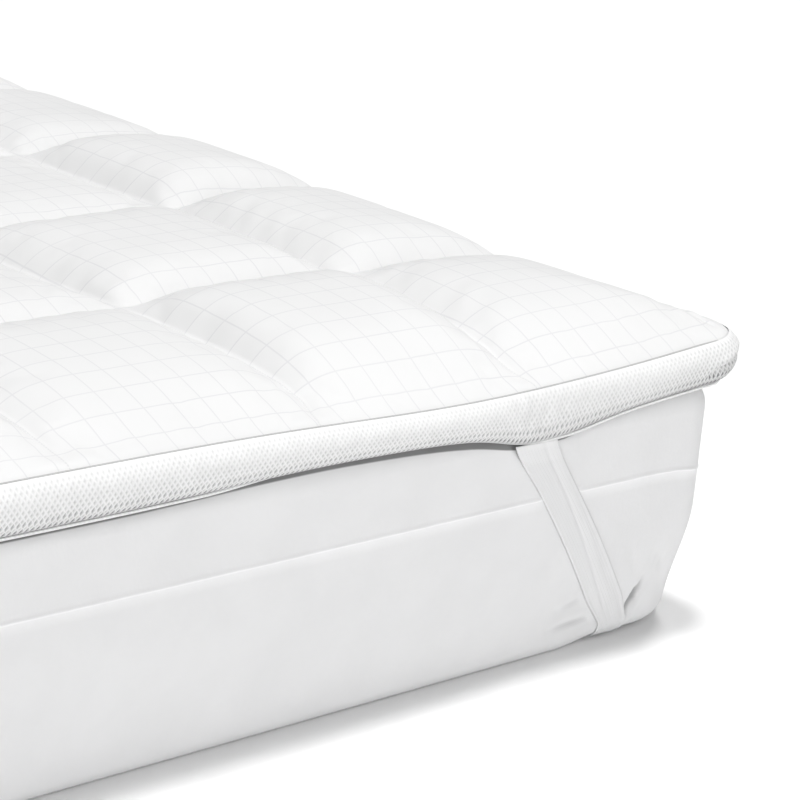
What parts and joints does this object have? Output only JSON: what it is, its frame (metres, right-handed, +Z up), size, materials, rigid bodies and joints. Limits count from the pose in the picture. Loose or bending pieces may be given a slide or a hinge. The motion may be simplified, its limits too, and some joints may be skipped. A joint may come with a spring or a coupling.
{
  "type": "mattress topper on a mattress",
  "caption": "Quilted mattress topper with a mesh border band and wide elastic corner straps, fitted on a plain mattress.",
  "frame": {"origin": "under the middle of the mattress, on the surface that it stands on", "axes": "+X along the long side, +Y along the short side, +Z up"},
  "size_m": [2.0792, 1.5692, 0.377],
  "materials": {
    "quilted_cotton": "white cotton with fine grey window-pane check lines, box-stitched",
    "spacer_mesh": "white knitted spacer mesh with small staggered holes",
    "seam_piping": "thin corded seam",
    "elastic_webbing": "wide flat ribbed elastic",
    "jersey_cover": "plain off-white knitted mattress cover"
  },
  "bodies": {
    "root": {"topper_body": "quilted_cotton", "border_band": "spacer_mesh", "piping_top": "seam_piping", "piping_bottom": "seam_piping", "strap_front_right": "elastic_webbing", "strap_back_right": "elastic_webbing", "strap_back_left": "elastic_webbing", "strap_front_left": "elastic_webbing", "mattress": "jersey_cover"}
  },
  "joints": []
}
